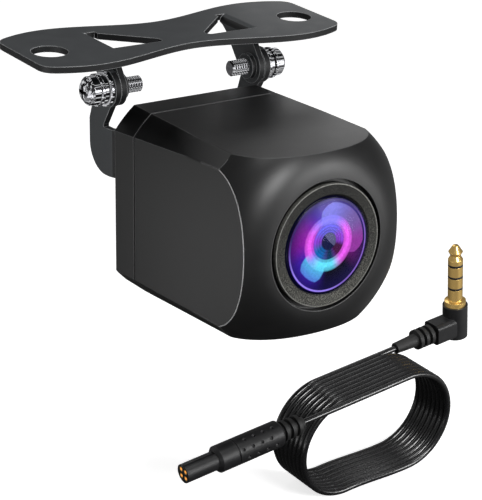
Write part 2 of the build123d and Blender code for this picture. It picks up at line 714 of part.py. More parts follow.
def contact_places():
    """Centres of the four contacts about a connector's axis."""
    angles = [pi / 4 + 2 * pi * index / CONTACT_COUNT for index in range(CONTACT_COUNT)]
    return [(CONTACT_CIRCLE_R * cos(angle), CONTACT_CIRCLE_R * sin(angle)) for angle in angles]


def socket_shell():
    """Moulded shell of the four-pole socket, open at its free end, with a groove for the seal."""
    shell = turned_z([
        (0, FIT), (SOCKET_R - 0.4, FIT), (SOCKET_R, 0.4), (SOCKET_R, SEAL_Z), (SOCKET_R - 0.4, SEAL_Z),
        (SOCKET_R - 0.4, SEAL_Z + 1), (SOCKET_R, SEAL_Z + 1), (SOCKET_R, SOCKET_LENGTH - 0.3),
        (SOCKET_R - 0.3, SOCKET_LENGTH), (SOCKET_BORE_R, SOCKET_LENGTH), (SOCKET_BORE_R, SOCKET_FLOOR),
        (0, SOCKET_FLOOR)])
    key = block(
        -0.4, 0.4, SOCKET_BORE_R - KEY_DEPTH, SOCKET_BORE_R + 0.2, SOCKET_FLOOR + 2.2,
        SOCKET_LENGTH - 0.6)
    return at_cable_end(shell + key)


def socket_seal():
    """Rubber ring around the socket."""
    section = make_face(Polyline(
        (SOCKET_R - 0.38, 0, SEAL_Z + 0.05), (SOCKET_R + 0.2, 0, SEAL_Z + 0.25),
        (SOCKET_R + 0.2, 0, SEAL_Z + 0.75), (SOCKET_R - 0.38, 0, SEAL_Z + 0.95), close=True))
    return at_cable_end(revolve(section, axis=Axis.Z))


def socket_insert():
    """Insulating disc at the floor of the socket."""
    return at_cable_end(turned_z([
        (0, SOCKET_FLOOR + FIT), (SOCKET_BORE_R - FIT, SOCKET_FLOOR + FIT),
        (SOCKET_BORE_R - FIT, SOCKET_FLOOR + 2), (0, SOCKET_FLOOR + 2)]))


def socket_contacts():
    """Four round pins that stand on the insert."""
    base = SOCKET_FLOOR + 2 + FIT
    return Compound([
        at_cable_end(Pos(x, y, base + 2.2) * Cylinder(CONTACT_R, 4.4)) for x, y in contact_places()])


def relief_sleeve():
    """Ribbed sleeve moulded over the last stretch of the cable, which is nearly straight."""
    core = CABLE_R + 0.25
    profile = [(core, -8.0), (CABLE_R + 0.5, -8.0), (CABLE_R + 0.6, -6.2)]
    for rib in range(3):
        start = -6.0 + 1.9 * rib
        profile += [(2.7, start), (2.7, start + 1.1), (2.0, start + 1.2), (2.0, start + 1.8)]
    profile += [(2.6, -0.25), (2.6, 0), (core, 0)]
    return at_cable_end(turned_z(profile)) - cable_tube(CABLE_R + FIT)


# ---- extension lead ----

def in_lead(shape):
    """Move a shape from the lead's frame to its place in the row frame."""
    return Pos(*LOOP_CENTRE) * Rot(0, -LEAD_TILT, 0) * shape


def lead_path():
    """Centre line: in along the top of the front loop, round the coil, and out along the back loop."""
    y = 0
    left, right = -LOOP_STRAIGHT / 2, LOOP_STRAIGHT / 2
    top, bottom = LOOP_END_R, -LOOP_END_R
    edges = [Line((left - PLUG_RUN, y, top), (right, y, top))]
    for _ in range(LEAD_TURNS):
        edges.append(ThreePointArc((right, y, top), (right + LOOP_END_R, y, 0), (right, y, bottom)))
        edges.append(Spline(
            (right, y, bottom), (left, y + LEAD_PITCH, bottom), tangents=((-1, 0, 0), (-1, 0, 0))))
        y += LEAD_PITCH
        edges.append(ThreePointArc((left, y, bottom), (left - LOOP_END_R, y, 0), (left, y, top)))
        edges.append(Line((left, y, top), (right, y, top)))
    edges.append(Line((right, y, top), (right + JACK_RUN, y, top)))
    return Wire([edge.edge() for edge in edges])


def plug_place():
    """Where the cable meets the plug, with +Z out of the plug."""
    start = (-LOOP_STRAIGHT / 2 - PLUG_RUN, 0, LOOP_END_R)
    return Plane(origin=start, x_dir=(0, 0, 1), z_dir=(-1, 0, 0))


def jack_place():
    """Where the cable meets the jack, with +Z out along the cable and +X up."""
    end = (LOOP_STRAIGHT / 2 + JACK_RUN, LEAD_TURNS * LEAD_PITCH, LOOP_END_R)
    return Plane(origin=end, x_dir=(0, 0, 1), z_dir=(1, 0, 0))


def lead_cable():
    """The coiled cable."""
    path = lead_path()
    start = Plane(origin=path.position_at(0), z_dir=(1, 0, 0))
    return sweep(start * Circle(LEAD_R), path=path)


def ribbed_sleeve(bore, rib_r, ribs, pitch, tail):
    """Points of a strain relief that ends at z = 0 and has its tail on the cable below."""
    start = -ribs * pitch - tail
    profile = [(bore, start), (bore + 0.4, start), (bore + 0.6, start + tail)]
    for rib in range(ribs):
        low = start + tail + rib * pitch
        profile += [(rib_r, low + 0.1), (rib_r, low + 0.6 * pitch), (bore + 0.6, low + 0.65 * pitch),
                    (bore + 0.6, low + pitch)]
    return profile + [(bore, 0)]


def plug_relief():
    """Ribbed strain relief of the plug."""
    return plug_place() * turned_z(ribbed_sleeve(LEAD_R + FIT, 1.6, 3, 1.2, 0.8))


def plug_shell():
    """Barrel of the plug with rows of shallow grip dots and a groove near its front."""
    groove_z = 0.7 * PLUG_LENGTH
    shell = turned_z([
        (0, FIT), (PLUG_R - 0.4, FIT), (PLUG_R, 0.4), (PLUG_R, groove_z), (PLUG_R - 0.2, groove_z),
        (PLUG_R - 0.2, groove_z + 0.3), (PLUG_R, groove_z + 0.3), (PLUG_R, PLUG_LENGTH - 0.5),
        (PLUG_R - 0.5, PLUG_LENGTH), (PLUG_CORE_R + FIT, PLUG_LENGTH), (PLUG_CORE_R + FIT, groove_z),
        (0, groove_z)])
    for row in range(GRIP_ROWS):
        for dot in range(GRIP_DOTS):
            z = 1.8 + dot * 1.7 + 0.85 * (row % 2)
            shell -= Rot(0, 0, 40 * (row - 1) - 60) * Pos(PLUG_R, 0, z) * Sphere(0.28)
    return plug_place() * shell


def plug_core():
    """Insulating core that stands out of the plug, with a keyway and four contact holes."""
    base = 0.7 * PLUG_LENGTH + FIT
    end = PLUG_LENGTH + PLUG_CORE_LENGTH
    core = Pos(0, 0, (base + end) / 2) * Cylinder(PLUG_CORE_R, end - base)
    core -= block(PLUG_CORE_R - KEY_DEPTH, PLUG_CORE_R + 1, -0.45, 0.45, PLUG_LENGTH, end + 1)
    for x, y in contact_places():
        core -= Pos(x, y, end - 2.5) * Cylinder(CONTACT_R + 0.17, 5.01)
    return plug_place() * core


def plug_sockets():
    """Four tubes that the socket's pins slide into."""
    end = PLUG_LENGTH + PLUG_CORE_LENGTH
    tubes = []
    for x, y in contact_places():
        tube = Cylinder(CONTACT_R + 0.15, 4.9) - Cylinder(CONTACT_R + 0.03, 6)
        tubes.append(plug_place() * Pos(x, y, end - 2.5) * tube)
    return Compound(tubes)


def jack_relief():
    """Ribbed strain relief of the jack."""
    return jack_place() * turned_z(ribbed_sleeve(LEAD_R + FIT, 1.7, 3, 1.2, 4.2))


def jack_body():
    """Right-angle moulding between the cable and the pin."""
    length = 2 * JACK_BODY_R + 3
    arm = Pos(0, 0, length / 2 - JACK_BODY_R / 2) * Box(
        2 * JACK_BODY_R - 0.6, 2 * JACK_BODY_R - 0.6, length - JACK_BODY_R)
    head_z = length - JACK_BODY_R
    head = Pos(0.8, 0, head_z) * Rot(0, 90, 0) * Cylinder(JACK_BODY_R, 2 * JACK_BODY_R + 1.6)
    body = fillet(arm.edges().filter_by(Axis.Z), 0.8) + head
    return jack_place() * (body & Pos(0, 0, 50 + FIT) * Box(60, 60, 100))


def on_jack(shape):
    """Move a shape drawn along +Z to the jack's pin, which stands up out of the moulding."""
    head_z = JACK_BODY_R + 3
    return jack_place() * Pos(JACK_BODY_R + 1.6 + FIT, 0, head_z) * Rot(0, 90, 0) * shape


def pin_bands():
    """The three insulating bands of a four-pole jack, as (start, end) along the pin."""
    return [(3.0 + 2.1 * index, 3.4 + 2.1 * index) for index in range(3)]


def jack_pin():
    """Gold pin with a collar, three band grooves and a waisted tip."""
    r = JACK_PIN_R
    tip = JACK_PIN_LENGTH
    profile = [(0, 0), (r + 0.55, 0), (r + 0.55, 0.8), (r, 0.9)]
    for start, end in pin_bands():
        profile += [(r, start), (r - 0.3, start), (r - 0.3, end), (r, end)]
    profile += [(r, tip - 2.6), (r - 0.4, tip - 1.9), (r - 0.05, tip - 1.2), (0.5, tip - 0.1), (0, tip)]
    return on_jack(turned_z(profile))


def jack_bands():
    """Three insulating rings in the pin's grooves."""
    rings = []
    for start, end in pin_bands():
        rings.append(on_jack(turned_z([
            (JACK_PIN_R - 0.28, start + FIT), (JACK_PIN_R, start + FIT), (JACK_PIN_R, end - FIT),
            (JACK_PIN_R - 0.28, end - FIT)])))
    return Compound(rings)


# ---- all nodes ----

def build_nodes():
    """Every sub-part at its rest place, by node name."""
    nodes = {
        "mounting_plate": mounting_plate(),
        "arm_washers": on_pivot(both_sides(washer(ARM_WASHER_R, ARM_OUTER_X + FIT, ARM_WASHER_END_X))),
    }
    screw_set = {
        "pivot_screw": pivot_screw(),
        "spring_washer": spring_washer(ARM_WASHER_END_X + FIT),
        "screw_washer": washer(WASHER_R, SPRING_END_X + FIT, HEAD_SEAT_X - FIT),
    }
    for name, shape in screw_set.items():
        nodes["right_" + name] = on_pivot(shape)
        nodes["left_" + name] = on_pivot(mirrored(shape))
    head_parts = [
        u_bracket, bracket_screws, front_housing, rear_cover, cover_gasket, cover_screws, lens_bezel,
        trim_ring, front_lens, lens_barrel, lens_o_ring, second_lens, third_lens, aperture_stop,
        fourth_lens, rear_retainer, lens_holder, ir_filter, holder_screws, sensor_board, image_sensor,
        power_board, board_chips, board_connector, board_spacers, board_screws, cable_gland, cable_tail,
        wire_plug, inner_wires, pigtail_cable, relief_sleeve, socket_shell, socket_seal, socket_insert,
        socket_contacts]
    for make in head_parts:
        nodes[make.__name__] = in_head(make())
    lead_parts = [
        lead_cable, plug_relief, plug_shell, plug_core, plug_sockets, jack_relief, jack_body, jack_pin,
        jack_bands]
    for make in lead_parts:
        nodes[make.__name__] = in_lead(make())
    return nodes


os.makedirs("parts", exist_ok=True)
for node_name, node_shape in build_nodes().items():
    export_step(node_shape, "parts/" + node_name + ".step")
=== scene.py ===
import json
import math
import bmesh
import bpy
from mathutils import Matrix, Vector

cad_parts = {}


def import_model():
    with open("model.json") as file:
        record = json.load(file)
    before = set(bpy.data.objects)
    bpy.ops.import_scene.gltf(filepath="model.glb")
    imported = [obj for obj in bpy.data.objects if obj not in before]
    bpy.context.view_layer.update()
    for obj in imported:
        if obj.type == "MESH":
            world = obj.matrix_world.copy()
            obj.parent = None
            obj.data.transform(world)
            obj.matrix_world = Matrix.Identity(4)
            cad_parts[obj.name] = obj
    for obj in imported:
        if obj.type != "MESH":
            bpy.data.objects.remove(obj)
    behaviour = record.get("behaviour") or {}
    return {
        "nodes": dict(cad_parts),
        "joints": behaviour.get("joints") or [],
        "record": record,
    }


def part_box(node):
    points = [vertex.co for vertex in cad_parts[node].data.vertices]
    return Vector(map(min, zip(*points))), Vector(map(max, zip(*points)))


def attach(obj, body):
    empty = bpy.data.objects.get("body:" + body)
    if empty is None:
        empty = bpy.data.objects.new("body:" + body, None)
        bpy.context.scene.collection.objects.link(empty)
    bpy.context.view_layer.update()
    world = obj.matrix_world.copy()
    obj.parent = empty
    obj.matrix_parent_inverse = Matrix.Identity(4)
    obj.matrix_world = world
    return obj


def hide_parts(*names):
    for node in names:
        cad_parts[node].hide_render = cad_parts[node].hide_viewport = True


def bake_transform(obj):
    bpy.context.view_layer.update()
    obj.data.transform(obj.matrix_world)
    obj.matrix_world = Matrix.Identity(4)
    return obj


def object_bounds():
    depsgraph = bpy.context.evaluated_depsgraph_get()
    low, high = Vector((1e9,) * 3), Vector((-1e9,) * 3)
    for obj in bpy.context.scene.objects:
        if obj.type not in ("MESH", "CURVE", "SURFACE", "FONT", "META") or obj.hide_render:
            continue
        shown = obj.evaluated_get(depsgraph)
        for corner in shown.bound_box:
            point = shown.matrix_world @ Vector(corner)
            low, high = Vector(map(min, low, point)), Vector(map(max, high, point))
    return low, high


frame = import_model()
cad_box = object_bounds()
nodes = frame["nodes"]
MM = 0.001

# ---- driving values, in millimetres where they are lengths ----
VIEW_AZIMUTH = -36.61          # degrees round the object, 0 looks straight at the front
VIEW_ELEVATION = 22.99
VIEW_ROLL = 3.38
VIEW_DISTANCE = 300.0
VIEW_AIM = (12.87, -2.45, -38.03)
LENS_LENGTH = 130.83           # millimetres, on a 36 mm sensor
GLASS_RIM = 0.45               # edge of the domed front face, out from the middle of the trim ring
GLASS_SAG = 1.15
GLASS_EDGE = 0.08              # thickness of the clear glass at its edge
COATED_SAG = 0.25
COATING_LIFT = 0.10            # how far up the inner rings sit, as a share of the radius
COATED_DEPTH = 1.6             # thickness of the coated lens at its edge
FLOOR_SIZE = 6000.0
WORLD_DIM = 0.13               # world light that falls on the object; the camera sees 1
FLOOR_GLOW = 0.75              # glow that makes the floor white to the camera
FLOOR_PATCH = 200.0            # unit in which the floor's bright patches are placed
PLATE_DEPTH = 1.25             # what lies above this depth belongs to the bracket's plate
NOSE_EDGE_X = 12.6             # the nose's side edges lie outside this
NOSE_EDGE_Y = -28.0            # and in front of this
CHAMFER_UNSHADED_Y = -33.0        # the chamfers have no painted shade and full shine here, and full painted shade and least shine from here back
CHAMFER_SHADED_Y = -18.0         # and fully dull from here back
LENS_RINGS = 28                # points of each lens face, from its middle to its rim
LENS_SIDES = 96
CABLE_HANDLE = 13.0            # how long the cable keeps its first and its last direction
CABLE_STEPS = 60
CABLE_SIDES = 28
CABLE_INSET = 2.6              # the cable starts this far inside the gland
CABLE_INSET_STEP = 0.4
CABLE_INSET_POINTS = 6
SOCKET_LENGTH = 13.0

# ---- places taken from the frame ----

def middle(node):
    """Centre of a CAD node's box."""
    low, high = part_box(node)
    return (low + high) / 2


def lens_matrix():
    """Frame of the lens: origin at the trim ring, +Z out of the lens, +X to the right, +Y up."""
    out = (middle("trim_ring") - middle("rear_retainer")).normalized()
    right = Vector((1, 0, 0))
    up = out.cross(right)
    turn = Matrix((right, up, out)).transposed().to_4x4()
    return Matrix.Translation(middle("trim_ring")) @ turn


def joint(name):
    """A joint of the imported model."""
    return next(j for j in frame["joints"] if j["name"] == name)


def mount(name):
    """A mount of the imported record."""
    return next(m for m in frame["record"]["mounts"] if m["name"] == name)


# ---- mesh helpers ----

def new_piece(name, mesh, matrix=None):
    """A linked object for a finished mesh."""
    piece = bpy.data.objects.new(name, mesh)
    bpy.context.scene.collection.objects.link(piece)
    if matrix is not None:
        piece.matrix_world = matrix
    return piece


def turned_mesh(name, profile, steps):
    """Closed mesh turned about Z from (radius, z) points; a radius of 0 closes an end."""
    bm = bmesh.new()
    rings = []
    for radius, z in profile:
        if radius == 0:
            rings.append([bm.verts.new((0, 0, z))])
            continue
        angles = [2 * math.pi * k / steps for k in range(steps)]
        rings.append([bm.verts.new((radius * math.cos(a), radius * math.sin(a), z)) for a in angles])
    for lower, upper in zip(rings, rings[1:]):
        for k in range(steps):
            after = (k + 1) % steps
            corners = [lower[k % len(lower)], lower[after % len(lower)],
                       upper[after % len(upper)], upper[k % len(upper)]]
            corners = list(dict.fromkeys(corners))
            if len(corners) > 2:
                bm.faces.new(corners)
    bmesh.ops.recalc_face_normals(bm, faces=bm.faces)
    mesh = bpy.data.meshes.new(name)
    bm.to_mesh(mesh)
    bm.free()
    mesh.shade_smooth()
    return mesh


def tube_mesh(name, path, radius, sides):
    """Closed round tube along a list of points."""
    bm = bmesh.new()
    side = Vector((1, 0, 0))
    rings = []
    for k, point in enumerate(path):
        ahead = (path[min(k + 1, len(path) - 1)] - path[max(k - 1, 0)]).normalized()
        side = (side - ahead * side.dot(ahead)).normalized()
        other = ahead.cross(side)
        angles = [2 * math.pi * s / sides for s in range(sides)]
        spokes = [math.cos(a) * side + math.sin(a) * other for a in angles]
        rings.append([bm.verts.new(point + radius * spoke) for spoke in spokes])
    for lower, upper in zip(rings, rings[1:]):
        for s in range(sides):
            after = (s + 1) % sides
            bm.faces.new((lower[s], lower[after], upper[after], upper[s]))
    bm.faces.new(rings[0])
    bm.faces.new(rings[-1])
    bmesh.ops.recalc_face_normals(bm, faces=bm.faces)
    mesh = bpy.data.meshes.new(name)
    bm.to_mesh(mesh)
    bm.free()
    mesh.shade_smooth()
    return mesh


# ---- material helpers ----

class Shader:
    """Small wrapper that builds one node material."""

    def __init__(self, name):
        self.material = bpy.data.materials.new(name)
        self.material.use_nodes = True
        self.tree = self.material.node_tree
        self.tree.nodes.clear()
        self.output = self.tree.nodes.new("ShaderNodeOutputMaterial")
        coords = self.tree.nodes.new("ShaderNodeTexCoord")
        self.position = coords.outputs["Object"]
        self.normal = coords.outputs["Normal"]
        self.mirrored = coords.outputs["Reflection"]

    def set(self, socket, value):
        """Links a socket to an output, or gives it a plain value."""
        if isinstance(value, bpy.types.NodeSocket):
            self.tree.links.new(value, socket)
        elif isinstance(value, tuple) and len(value) == 3 and socket.type == "RGBA":
            socket.default_value = (*value, 1.0)
        else:
            socket.default_value = value

    def add(self, kind, values, **settings):
        """Adds a node, sets its inputs by name or index, and returns it."""
        node = self.tree.nodes.new("ShaderNode" + kind)
        for key, value in settings.items():
            setattr(node, key, value)
        for key, value in values.items():
            self.set(node.inputs[key], value)
        return node

    def math(self, operation, a, b=0.0, clamp=False):
        """Result of a maths node."""
        node = self.add("Math", {0: a, 1: b}, operation=operation, use_clamp=clamp)
        return node.outputs[0]

    def noise(self, size_mm, detail=3.0, rough=0.55):
        """Noise value whose features are about size_mm across."""
        node = self.add("TexNoise", {
            "Vector": self.position, "Scale": 1 / (size_mm * MM), "Detail": detail, "Roughness": rough})
        return node.outputs["Fac"]

    def ramp(self, factor, stops):
        """Colour ramp from (place, colour) stops; a colour may be one grey number."""
        node = self.add("ValToRGB", {"Fac": factor})
        elements = node.color_ramp.elements
        while len(elements) < len(stops):
            elements.new(0.5)
        for element, (place, colour) in zip(elements, stops):
            element.position = place
            grey = isinstance(colour, (int, float))
            element.color = (colour, colour, colour, 1) if grey else (*colour, 1)
        return node.outputs["Color"]

    def mix(self, factor, a, b, mode="MIX"):
        """Colour between a and b, or their product when mode is MULTIPLY."""
        node = self.tree.nodes.new("ShaderNodeMix")
        node.data_type = "RGBA"
        node.blend_type = mode
        self.set(node.inputs["Factor"], factor)
        self.set(node.inputs["A"], a)
        self.set(node.inputs["B"], b)
        return node.outputs["Result"]

    def bump(self, height, depth_mm, strength=1.0, normal=None):
        """Normal of a surface whose height varies over depth_mm."""
        values = {"Height": height, "Distance": depth_mm * MM, "Strength": strength}
        if normal is not None:
            values["Normal"] = normal
        return self.add("Bump", values).outputs["Normal"]

    def edge_normal(self, radius_mm):
        """Normal that rounds sharp edges over radius_mm."""
        return self.add("Bevel", {"Radius": radius_mm * MM}, samples=6).outputs["Normal"]

    def edges(self, radius_mm, gain=6.0):
        """1 on sharp edges and 0 beyond radius_mm of them; a higher gain finds blunter edges."""
        rounded = self.edge_normal(radius_mm)
        true_normal = self.add("NewGeometry", {}).outputs["Normal"]
        node = self.add("VectorMath", {0: rounded, 1: true_normal}, operation="DOT_PRODUCT")
        away = self.math("SUBTRACT", 1.0, node.outputs["Value"])
        return self.math("MULTIPLY", away, gain, clamp=True)

    def surface(self, values):
        """Ends the material with a Principled surface of these values, and returns it."""
        node = self.add("BsdfPrincipled", values)
        self.tree.links.new(node.outputs["BSDF"], self.output.inputs["Surface"])
        return self.material


def powder_coat():
    """Matt dark grey powder coat with fine grain, painted shade on its front-facing faces and the plate's
    end faces, and a painted highlight line along each edge.
    """
    s = Shader("powder_coat")
    grain = s.noise(0.16, 2.0)
    patches = s.noise(4.0, 3.0)
    base = s.ramp(patches, [(0.3, (0.052, 0.056, 0.060)), (0.7, (0.066, 0.071, 0.075))])
    speckled = s.mix(s.ramp(grain, [(0.45, 0.0), (0.7, 0.3)]), base, (0.10, 0.105, 0.11))
    normal = s.add("SeparateXYZ", {"Vector": s.normal})
    height = s.add("SeparateXYZ", {"Vector": s.position}).outputs["Z"]
    # painted shade: faces that face the front, and the plate's end faces, are darkened
    faces_front = s.math("LESS_THAN", normal.outputs["Y"], -0.35)
    end_face = s.math("GREATER_THAN", s.math("ABSOLUTE", normal.outputs["X"]), 0.7)
    in_plate = s.math("GREATER_THAN", height, -PLATE_DEPTH * MM)
    dark = s.math("MAXIMUM", faces_front, s.math("MULTIPLY", end_face, in_plate))
    shaded = s.mix(s.math("MULTIPLY", dark, 0.9), speckled, (0.004, 0.004, 0.0045))
    # painted highlight: a light line along each edge
    edge_highlighted = s.mix(s.math("MULTIPLY", s.edges(0.16, 9.0), 0.85), shaded, (0.55, 0.56, 0.57))
    rough = s.ramp(patches, [(0.3, 0.50), (0.7, 0.60)])
    return s.surface({
        "Base Color": edge_highlighted, "Roughness": rough, "Normal": s.bump(grain, 0.012, 0.5, s.edge_normal(0.15)),
        "Specular IOR Level": 0.4})


def shell_plastic():
    """Satin black moulded plastic with painted highlights along its edges, brightest at the nose, and
    painted shade with less shine on its chamfers.
    """
    s = Shader("shell_plastic")
    grain = s.noise(0.09, 2.0)
    cloud = s.noise(7.0, 4.0)
    base = s.ramp(cloud, [(0.3, (0.0075, 0.0075, 0.0078)), (0.7, (0.0105, 0.0105, 0.0108))])
    place = s.add("SeparateXYZ", {"Vector": s.position})
    # painted highlight: a light line along the edges, stronger and whiter at the nose's side edges
    beside = s.math("GREATER_THAN", s.math("ABSOLUTE", place.outputs["X"]), NOSE_EDGE_X * MM)
    ahead = s.math("LESS_THAN", place.outputs["Y"], NOSE_EDGE_Y * MM)
    at_nose = s.math("MULTIPLY", beside, ahead)
    strength = s.math("ADD", s.math("MULTIPLY", at_nose, 0.75), 0.2)
    line = s.mix(at_nose, (0.52, 0.52, 0.53), (0.95, 0.95, 0.96))
    edge_highlighted = s.mix(s.math("MULTIPLY", s.edges(0.2, 34.0), strength), base, line)
    cloud_rough = s.ramp(cloud, [(0.3, 0.34), (0.7, 0.42)])
    grain_rough = s.ramp(grain, [(0.3, 0.33), (0.7, 0.45)])
    rough = s.mix(0.5, cloud_rough, grain_rough)
    normal = s.bump(grain, 0.004, 0.35, s.edge_normal(0.2))
    slope = s.add("SeparateXYZ", {"Vector": s.normal})
    up_and_out = s.math("MULTIPLY", s.math("ABSOLUTE", slope.outputs["X"]), slope.outputs["Z"])
    behind_nose = s.add("MapRange", {
        "Value": place.outputs["Y"], "From Min": CHAMFER_UNSHADED_Y * MM, "From Max": CHAMFER_SHADED_Y * MM})
    on_chamfer = s.ramp(up_and_out, [(0.30, 0.0), (0.42, 1.0)])
    # painted shade: the chamfers are darkened and given less shine, fading out towards the nose
    dull_and_shaded = s.math("MULTIPLY", on_chamfer, behind_nose.outputs["Result"])
    shine = s.math("SUBTRACT", 0.55, s.math("MULTIPLY", dull_and_shaded, 0.45))
    colour = s.mix(s.math("MULTIPLY", dull_and_shaded, 0.7), edge_highlighted, (0.001, 0.001, 0.001))
    return s.surface({
        "Base Color": colour, "Roughness": rough, "Normal": normal, "Specular IOR Level": shine})


def bright_steel():
    """Nickel-plated steel with fine turning lines, painted shade in its hollows and painted banded studio
    reflections that glow.
    """
    s = Shader("bright_steel")
    fine = s.noise(0.12, 3.0)
    blotch = s.noise(0.7, 3.0)
    base = s.ramp(blotch, [(0.3, (0.12, 0.12, 0.13)), (0.7, (0.30, 0.30, 0.315))])
    # painted shade: hollows and gaps between parts are darkened
    shade = s.add("AmbientOcclusion", {"Distance": 0.7 * MM}, samples=6).outputs["AO"]
    open_share = s.ramp(shade, [(0.45, 0.0), (0.85, 1.0)])
    hollow_shaded = s.mix(open_share, (0.03, 0.03, 0.033), base)
    rough = s.ramp(fine, [(0.3, 0.10), (0.7, 0.22)])
    normal = s.bump(fine, 0.012, 0.5, s.edge_normal(0.06))
    # painted reflection: glowing streaks that follow the reflection direction
    bands = s.add("TexNoise", {"Vector": s.mirrored, "Scale": 3.4, "Detail": 1.5}).outputs["Fac"]
    reflection_streaks = s.ramp(bands, [(0.52, 0.0), (0.54, 1.0), (0.59, 1.0), (0.61, 0.0)])
    glow = s.math("MULTIPLY", reflection_streaks, open_share)
    return s.surface({
        "Base Color": hollow_shaded, "Metallic": 1.0, "Roughness": rough, "Normal": normal,
        "Emission Color": (0.86, 0.87, 0.90), "Emission Strength": s.math("MULTIPLY", glow, 0.8)})


def bezel_plastic():
    """Olive-grey speckled ring around the glass, with painted light at its bottom and painted shade darker
    towards its top.
    """
    s = Shader("bezel_plastic")
    low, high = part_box("lens_bezel")
    height = s.add("SeparateXYZ", {"Vector": s.position}).outputs["Z"]
    share = s.math("DIVIDE", s.math("SUBTRACT", height, low.z), high.z - low.z)
    speck = s.noise(0.14, 2.0, 0.7)
    grains = s.ramp(speck, [
        (0.40, (0.007, 0.007, 0.0065)), (0.5, (0.027, 0.027, 0.024)), (0.62, (0.100, 0.099, 0.087))])
    # painted light and shade: brighter at the bottom, darker at the top
    shade = s.ramp(share, [(0.0, 2.3), (0.35, 1.1), (1.0, 0.28)])
    base = s.mix(1.0, grains, shade, "MULTIPLY")
    normal = s.bump(speck, 0.02, 0.6, s.edge_normal(0.08))
    return s.surface({
        "Base Color": base, "Roughness": 0.62, "Normal": normal, "Specular IOR Level": 0.3})


def trim_metal():
    """Thin satin aluminium."""
    s = Shader("trim_metal")
    fine = s.noise(0.2, 2.0)
    base = s.ramp(fine, [(0.3, (0.12, 0.12, 0.11)), (0.7, (0.30, 0.30, 0.28))])
    return s.surface({
        "Base Color": base, "Metallic": 0.35, "Roughness": 0.4, "Normal": s.bump(fine, 0.006, 0.4)})


def black_metal():
    """Matt anodised aluminium of the barrel."""
    s = Shader("black_metal")
    fine = s.noise(0.2, 3.0)
    base = s.ramp(fine, [(0.3, (0.010, 0.010, 0.011)), (0.7, (0.022, 0.022, 0.024))])
    return s.surface({
        "Base Color": base, "Metallic": 0.6, "Roughness": 0.5, "Normal": s.bump(fine, 0.01, 0.4)})


def soft_rubber():
    """Matt black rubber with a faint bloom."""
    s = Shader("soft_rubber")
    bloom = s.noise(1.5, 4.0)
    grain = s.noise(0.12, 2.0)
    base = s.ramp(bloom, [(0.3, (0.012, 0.012, 0.012)), (0.75, (0.028, 0.028, 0.028))])
    rough = s.ramp(bloom, [(0.3, 0.48), (0.7, 0.62)])
    normal = s.bump(grain, 0.01, 0.4, s.edge_normal(0.12))
    return s.surface({"Base Color": base, "Roughness": rough, "Normal": normal})


def cable_sheath():
    """Smooth black PVC with a soft gloss."""
    s = Shader("cable_sheath")
    ripple = s.noise(2.2, 2.0)
    grain = s.noise(0.2, 2.0)
    base = s.ramp(ripple, [(0.3, (0.007, 0.007, 0.0075)), (0.7, (0.013, 0.013, 0.014))])
    rough = s.ramp(grain, [(0.3, 0.20), (0.7, 0.30)])
    return s.surface({
        "Base Color": base, "Roughness": rough, "Normal": s.bump(ripple, 0.02, 0.25),
        "Specular IOR Level": 0.8, "Coat Weight": 0.5, "Coat Roughness": 0.18})


def connector_plastic():
    """Fine-textured black moulding of the plug, socket and jack."""
    s = Shader("connector_plastic")
    grain = s.noise(0.12, 3.0)
    base = s.ramp(s.noise(2.0), [(0.3, (0.012, 0.012, 0.013)), (0.7, (0.020, 0.020, 0.021))])
    # painted highlight: light lines along sharp edges
    edge_highlighted = s.mix(s.math("MULTIPLY", s.edges(0.12), 0.4), base, (0.20, 0.20, 0.21))
    rough = s.ramp(grain, [(0.3, 0.34), (0.7, 0.46)])
    normal = s.bump(grain, 0.008, 0.4, s.edge_normal(0.12))
    return s.surface({"Base Color": edge_highlighted, "Roughness": rough, "Normal": normal})


def gold_plate():
    """Gold plating with fine turning marks and a painted bright studio reflection that glows."""
    s = Shader("gold_plate")
    fine = s.noise(0.15, 2.0)
    base = s.ramp(fine, [(0.3, (0.80, 0.50, 0.14)), (0.7, (0.98, 0.70, 0.27))])
    normal = s.bump(fine, 0.006, 0.3, s.edge_normal(0.08))
    # painted reflection: a glow, strongest where the surface faces the viewer
    facing = s.add("LayerWeight", {"Blend": 0.4}).outputs["Facing"]
    glow = s.ramp(facing, [(0.05, 0.30), (0.45, 0.12), (0.8, 0.02)])
    return s.surface({
        "Base Color": base, "Metallic": 1.0, "Roughness": 0.22, "Normal": normal,
        "Emission Color": (1.0, 0.66, 0.22), "Emission Strength": glow})


def board_lacquer():
    """Green solder mask with faint copper traces under it."""
    s = Shader("board_lacquer")
    cell = s.add("TexVoronoi", {"Vector": s.position, "Scale": 700.0}, feature="DISTANCE_TO_EDGE")
    traces = s.ramp(cell.outputs["Distance"], [(0.02, 1.0), (0.06, 0.0)])
    base = s.mix(traces, (0.008, 0.060, 0.025), (0.020, 0.120, 0.050))
    return s.surface({"Base Color": base, "Roughness": 0.3, "Normal": s.bump(traces, 0.02, 0.5)})


def wire_insulation():
    """Thin coloured insulation of the inner wires."""
    s = Shader("wire_insulation")
    fine = s.noise(0.5, 2.0)
    base = s.ramp(fine, [(0.3, (0.28, 0.03, 0.02)), (0.7, (0.40, 0.05, 0.04))])
    return s.surface({"Base Color": base, "Roughness": 0.4, "Normal": s.bump(fine, 0.01, 0.3)})


def inner_glass():
    """Dark coated glass of the lenses inside the barrel."""
    s = Shader("inner_glass")
    sweep = s.noise(3.0, 1.0)
    base = s.ramp(sweep, [(0.3, (0.010, 0.012, 0.050)), (0.7, (0.040, 0.015, 0.080))])
    return s.surface({"Base Color": base, "Roughness": 0.05, "Coat Weight": 1.0, "Coat Roughness": 0.03})


